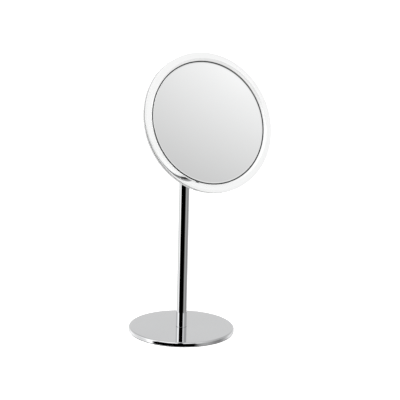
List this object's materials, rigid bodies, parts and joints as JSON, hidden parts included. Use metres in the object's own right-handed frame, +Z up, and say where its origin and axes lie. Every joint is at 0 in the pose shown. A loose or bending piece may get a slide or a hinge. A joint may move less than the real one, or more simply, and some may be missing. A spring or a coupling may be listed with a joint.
{
  "type": "lighted vanity mirror",
  "caption": "Round cosmetic mirror in a clear edge-lit ring, on a slim pillar with a flat disc base; the head swivels and tilts.",
  "frame": {"origin": "centre of the flat underside of the base pad, on the table, on the pillar's axis", "axes": "+Z up along the pillar; the glass faces -Y and leans back from upright; +X is to the right of a person looking into the glass"},
  "size_m": [0.23, 0.2104, 0.4782],
  "materials": {
    "chrome": "polished",
    "steel": "satin",
    "brass": "machined",
    "pad_rubber": "matte",
    "seal_rubber": "matte",
    "mirror_silver": "polished",
    "clear_acrylic": "polished",
    "white_plastic": "moulded",
    "nylon": "matte",
    "black_plastic": "moulded",
    "button_plastic": "fine texture",
    "plunger_plastic": "moulded",
    "chromed_plastic": "polished",
    "cell_jacket": "printed sleeve",
    "nickel": "plated",
    "board_green": "solder mask",
    "board_white": "solder mask",
    "led_phosphor": "encapsulant",
    "chip_plastic": "moulded",
    "film_white": "satin",
    "tape_foam": "foam",
    "red_insulation": "smooth",
    "pale_insulation": "smooth"
  },
  "bodies": {
    "base": {"base_pad": "pad_rubber", "base_plate": "chrome", "base_screw": "steel", "base_lock_washer": "steel", "pillar_tube": "chrome", "pillar_foot_plug": "steel", "pillar_top_bush": "brass"},
    "neck": {"swivel_washer": "nylon", "neck_block": "chrome", "swivel_spindle": "steel", "swivel_wave_washer": "steel", "swivel_nut": "steel"},
    "head": {"tilt_washers": "nylon", "tilt_bolt": "steel", "tilt_spring_washer": "steel", "tilt_nut": "chrome", "tilt_bracket": "chrome", "bracket_plate": "steel", "bracket_screws": "steel", "mirror_glass": "mirror_silver", "mirror_seal": "seal_rubber", "mirror_tape": "tape_foam", "light_ring": "clear_acrylic", "reflector_film": "film_white", "mirror_carrier": "white_plastic", "led_board": "board_white", "leds": "led_phosphor", "rear_shell": "chromed_plastic", "shell_screws": "steel", "rear_pod": "chromed_plastic", "pod_screws": "steel", "battery_tray": "black_plastic", "batteries": "cell_jacket", "contact_plates": "nickel", "contact_springs": "nickel", "driver_board": "board_green", "board_parts": "chip_plastic", "board_screws": "steel", "switch_body": "black_plastic", "button_collar": "steel", "supply_wires": "red_insulation", "led_wires": "pale_insulation"},
    "power_button": {"power_button": "button_plastic", "switch_plunger": "plunger_plastic"},
    "battery_door": {"battery_door": "chromed_plastic", "door_hinge_pin": "steel"}
  },
  "joints": [
    {"name": "head_swivel", "type": "hinge", "parent": "base", "child": "neck", "pos_m": [0, 0, 0.3538], "axis": [0, 0, 1], "continuous": true},
    {"name": "head_tilt", "type": "hinge", "parent": "neck", "child": "head", "pos_m": [0, -0.0315, 0.3538], "axis": [-1, 0, 0], "range_deg": [-43.5, 36.5]},
    {"name": "power_button_press", "type": "slide", "parent": "head", "child": "power_button", "axis": [0, -0.9171, 0.3987], "range_m": [0, 0.0008], "stiffness_N_per_m": 1500},
    {"name": "battery_door_hinge", "type": "hinge", "parent": "head", "child": "battery_door", "pos_m": [-0.02365, -0.0577, 0.32866], "axis": [0, 0.3987, 0.9171], "range_deg": [0, 95]}
  ]
}
